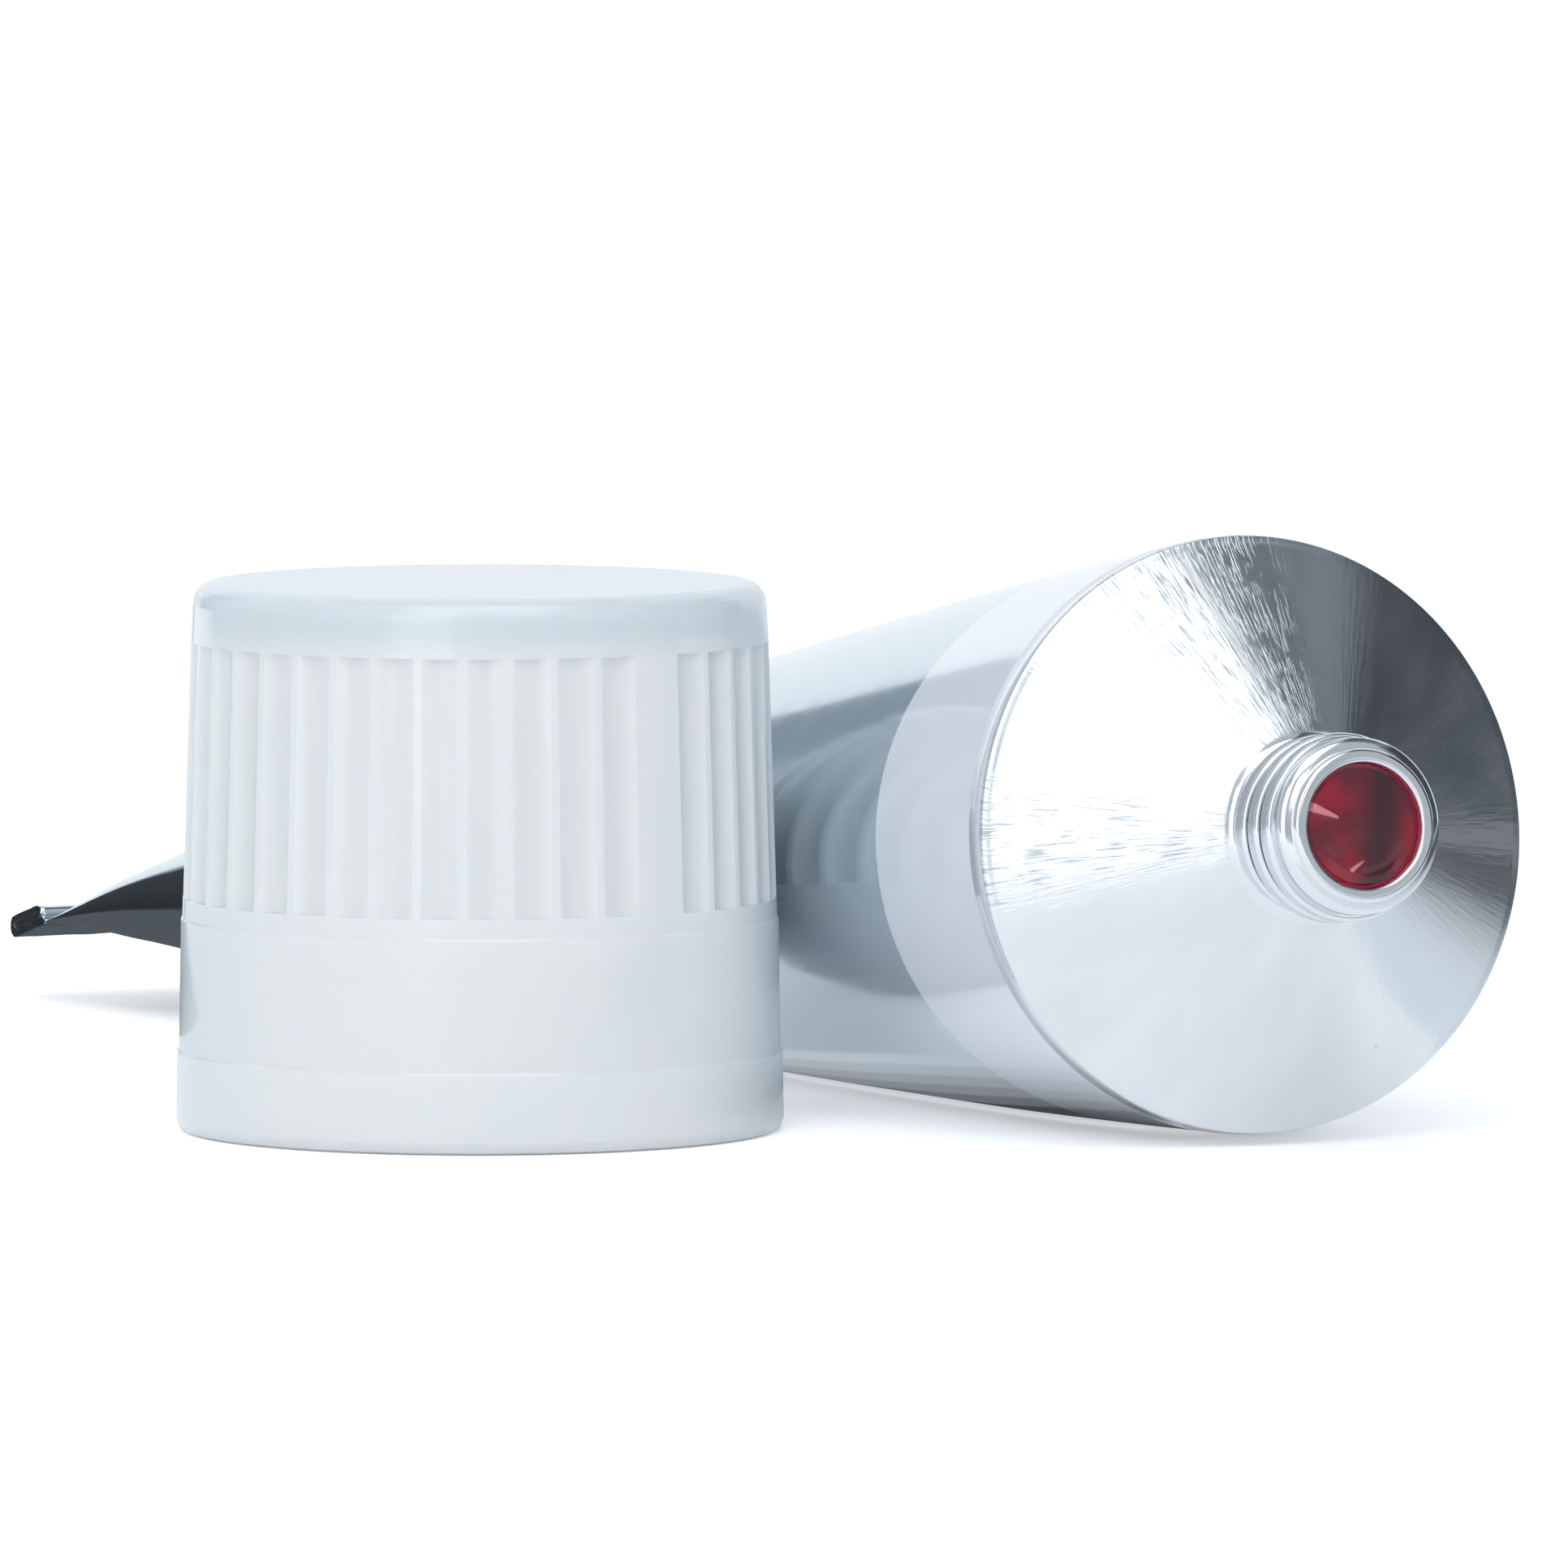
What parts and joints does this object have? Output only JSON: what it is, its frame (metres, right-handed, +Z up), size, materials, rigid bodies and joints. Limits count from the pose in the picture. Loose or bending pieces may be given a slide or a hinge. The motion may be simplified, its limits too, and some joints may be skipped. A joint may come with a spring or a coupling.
{
  "type": "shoe polish tube",
  "caption": "Collapsible metal tube of wine-red shoe polish lying on its side, open at the nozzle, with its fluted white screw cap standing beside it.",
  "frame": {"origin": "centre of the foot of the box round the whole object, on the surface it lies on", "axes": "+X along the lying tube towards its nozzle, +Z up"},
  "size_m": [0.1384, 0.0824, 0.0355],
  "materials": {
    "tube": "glossy silver lacquer, bare shoulder",
    "polish": "glossy paste",
    "screw_cap": "translucent satin"
  },
  "bodies": {
    "root": {"tube": "tube", "polish": "polish", "screw_cap": "screw_cap"}
  },
  "joints": []
}
